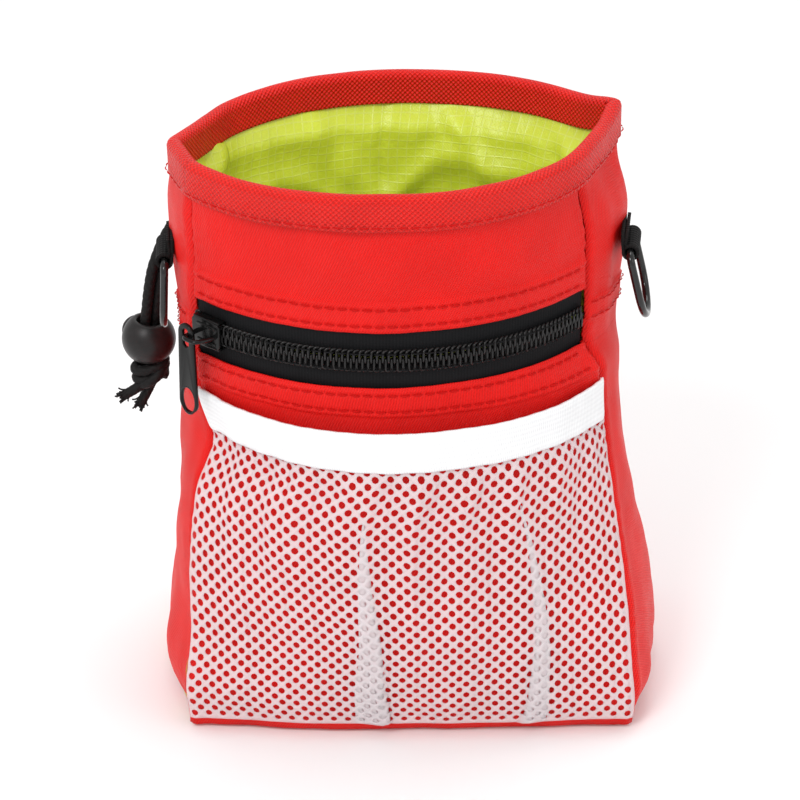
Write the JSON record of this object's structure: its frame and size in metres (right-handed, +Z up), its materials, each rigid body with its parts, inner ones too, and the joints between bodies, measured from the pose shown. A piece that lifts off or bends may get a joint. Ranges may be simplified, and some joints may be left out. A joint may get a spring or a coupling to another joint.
{
  "type": "treat pouch",
  "caption": "Upright fabric treat pouch with a bound open mouth, drawcord and cord lock, zip pocket, mesh pocket, side D-rings and a belt clip.",
  "frame": {"origin": "on the resting surface, at the middle of the base panel", "axes": "+Z up out of the mouth, the front with the zipper faces -Y, +X to the right seen from the front"},
  "size_m": [0.1652, 0.111, 0.1781],
  "materials": {
    "red_fabric": "coated polyester, fine diagonal weave",
    "red_webbing": "woven binding tape",
    "lime_lining": "glossy ripstop nylon",
    "white_mesh": "knitted polyester mesh",
    "white_elastic": "ribbed elastic",
    "black_tape": "woven zipper tape",
    "black_coil": "nylon coil",
    "black_enamel": "enamelled zinc, taken as gloss",
    "black_cord": "braided polyester cord",
    "black_lock": "moulded, satin",
    "spring_steel": "bright",
    "black_metal": "black enamel",
    "black_plastic": "moulded, gloss",
    "black_webbing": "ribbed webbing",
    "clip_steel": "nickel plated"
  },
  "bodies": {
    "pouch": {"front_lower_panel": "red_fabric", "front_upper_panel": "red_fabric", "left_gusset_lower": "red_fabric", "left_gusset_upper": "red_fabric", "right_gusset_lower": "red_fabric", "right_gusset_upper": "red_fabric", "back_panel": "red_fabric", "base_panel": "red_fabric", "lining_wall": "lime_lining", "lining_base": "lime_lining", "rim_binding": "red_webbing", "mesh_pocket": "white_mesh", "mesh_pocket_elastic": "white_elastic", "zip_pocket_backing": "lime_lining", "zipper_tape_lower": "black_tape", "zipper_tape_upper": "black_tape", "zipper_coil_lower": "black_coil", "zipper_coil_upper": "black_coil", "drawcord_outer_strand": "black_cord", "drawcord_inner_strand": "black_cord", "drawcord_loop": "black_cord", "drawcord_knot": "black_cord", "drawcord_tails": "black_cord", "cord_eyelet": "black_metal", "left_ring_tab": "black_webbing", "right_ring_tab": "black_webbing", "clip_patch": "black_webbing", "belt_clip": "clip_steel", "clip_rivets": "clip_steel"},
    "slider": {"zipper_slider": "black_enamel"},
    "pull": {"zipper_pull": "black_enamel"},
    "cord_lock": {"cord_lock_barrel": "black_lock", "cord_lock_spring": "spring_steel"},
    "lock_button": {"cord_lock_plunger": "black_lock"},
    "left_d_ring": {"left_ring": "black_plastic"},
    "right_d_ring": {"right_ring": "black_plastic"}
  },
  "joints": [
    {"name": "zipper_slide", "type": "hinge", "parent": "pouch", "child": "slider", "pos_m": [-0.00725, 0.02572, 0.1255], "axis": [0, 0, 1], "range_deg": [0, 90], "deforming": ["zipper_coil_lower", "zipper_coil_upper"]},
    {"name": "pull_swing", "type": "hinge", "parent": "slider", "child": "pull", "pos_m": [-0.06115, -0.02768, 0.1255], "axis": [0.682, 0.7314, 0], "range_deg": [-45, 95]},
    {"name": "cord_lock_slide", "type": "slide", "parent": "pouch", "child": "cord_lock", "axis": [0.0877, 0, 0.9962], "range_m": [0, 0.01]},
    {"name": "lock_button_press", "type": "slide", "parent": "cord_lock", "child": "lock_button", "axis": [0.6403, -0.766, -0.0563], "range_m": [0, 0.0018], "stiffness_N_per_m": 1500, "springref_m": -0.002, "deforming": ["cord_lock_spring"]},
    {"name": "left_ring_swing", "type": "hinge", "parent": "pouch", "child": "left_d_ring", "pos_m": [-0.07005, -0.00339, 0.1395], "axis": [-0.0698, 0.9976, 0], "range_deg": [0, 150]},
    {"name": "right_ring_swing", "type": "hinge", "parent": "pouch", "child": "right_d_ring", "pos_m": [0.06463, 0.00255, 0.1395], "axis": [-0.1219, -0.9925, 0], "range_deg": [-8, 135]}
  ]
}
